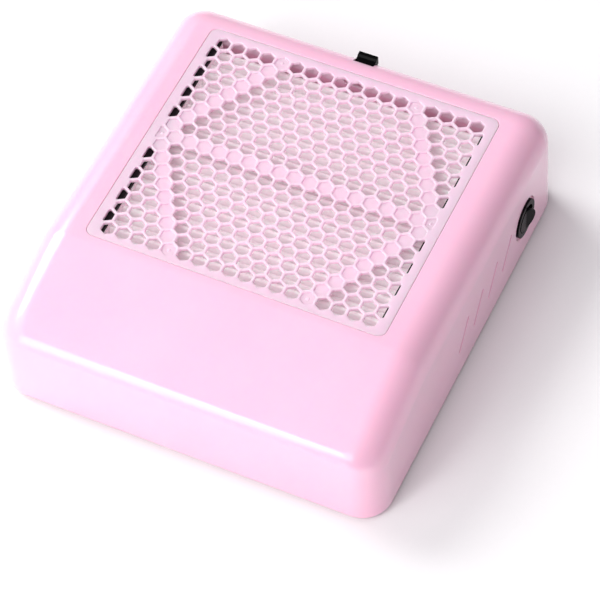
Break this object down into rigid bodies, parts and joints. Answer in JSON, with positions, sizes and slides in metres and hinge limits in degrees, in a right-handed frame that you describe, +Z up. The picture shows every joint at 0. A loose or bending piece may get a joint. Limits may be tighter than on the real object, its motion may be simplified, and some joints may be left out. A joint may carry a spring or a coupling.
{
  "type": "nail dust collector",
  "caption": "Desktop dust collector for nail filing: glossy housing with a sloped hand rest, honeycomb grille over a pleated filter, axial fan and side rocker switch.",
  "frame": {"origin": "on the supporting surface, under the middle of the housing", "axes": "+Z up, -Y towards the user's hand rest, +X to the switch side"},
  "size_m": [0.2393, 0.255, 0.075],
  "materials": {
    "pink_housing": "glossy injection-moulded pink ABS",
    "steel_screws": "zinc-plated steel",
    "rubber_feet": "matt black rubber",
    "wire_steel": "bright drawn wire",
    "fan_plastic": "black glass-filled PBT",
    "brass_parts": "turned brass",
    "turned_steel": "turned and ground steel",
    "circuit_board": "green solder resist",
    "core_steel": "dark laminated steel and ferrite",
    "copper_winding": "enamelled copper wire",
    "black_filter_frame": "matt black plastic",
    "filter_paper": "pleated white filter paper",
    "filter_foam": "soft closed-cell foam",
    "black_latch": "satin black plastic",
    "black_switch": "glossy black plastic",
    "transformer_tape": "yellow winding tape",
    "capacitor_sleeve": "blue-black shrink sleeve",
    "heat_sink_metal": "extruded aluminium",
    "white_nylon": "natural nylon",
    "green_nylon": "green terminal block",
    "lead_black": "black insulated lead",
    "lead_red": "red insulated lead"
  },
  "bodies": {
    "housing": {"top_cover": "pink_housing", "base_plate": "pink_housing", "base_screws": "steel_screws", "foot_front_left": "rubber_feet", "foot_front_right": "rubber_feet", "foot_back_left": "rubber_feet", "foot_back_right": "rubber_feet", "fan_deck": "pink_housing", "deck_screws": "steel_screws", "finger_guard": "wire_steel", "fan_frame": "fan_plastic", "fan_screws": "steel_screws", "bearing_tube": "brass_parts", "lower_bearing": "turned_steel", "upper_bearing": "turned_steel", "motor_board": "circuit_board", "stator_core": "core_steel", "stator_coils": "copper_winding", "latch_spring": "wire_steel", "latch_retainer": "pink_housing", "latch_screws": "steel_screws", "switch_housing": "black_switch", "switch_terminals": "brass_parts", "power_inlet": "black_switch", "inlet_pins": "turned_steel", "inlet_screws": "steel_screws", "power_board": "circuit_board", "transformer": "transformer_tape", "capacitors": "capacitor_sleeve", "heat_sink": "heat_sink_metal", "fan_connector": "white_nylon", "mains_connector": "green_nylon", "board_screws": "steel_screws", "mains_lead": "lead_black", "switch_lead": "lead_red", "fan_lead": "lead_black", "lead_clips": "white_nylon"},
    "panel": {"grille_panel": "pink_housing", "filter_frame": "black_filter_frame", "filter_media": "filter_paper", "filter_seal": "filter_foam"},
    "latch": {"release_latch": "black_latch"},
    "rocker": {"switch_rocker": "black_switch"},
    "rotor": {"impeller": "fan_plastic", "rotor_cup": "turned_steel", "magnet_ring": "core_steel", "fan_shaft": "turned_steel", "shaft_clip": "turned_steel"}
  },
  "joints": [
    {"name": "panel_hinge", "type": "hinge", "parent": "housing", "child": "panel", "pos_m": [0, -0.0579, 0.075], "axis": [1, 0, 0], "range_deg": [0, 70]},
    {"name": "latch_slide", "type": "slide", "parent": "housing", "child": "latch", "axis": [0, 1, 0], "range_m": [0, 0.0025], "stiffness_N_per_m": 200, "springref_m": -0.002, "deforming": ["latch_spring"]},
    {"name": "rocker_hinge", "type": "hinge", "parent": "housing", "child": "rocker", "pos_m": [0.1131, 0.0786, 0.031], "axis": [0, 0, 1], "range_deg": [0, 20]},
    {"name": "fan_spin", "type": "hinge", "parent": "housing", "child": "rotor", "pos_m": [0, 0.0236, 0.031], "axis": [0, 0, 1], "continuous": true}
  ]
}
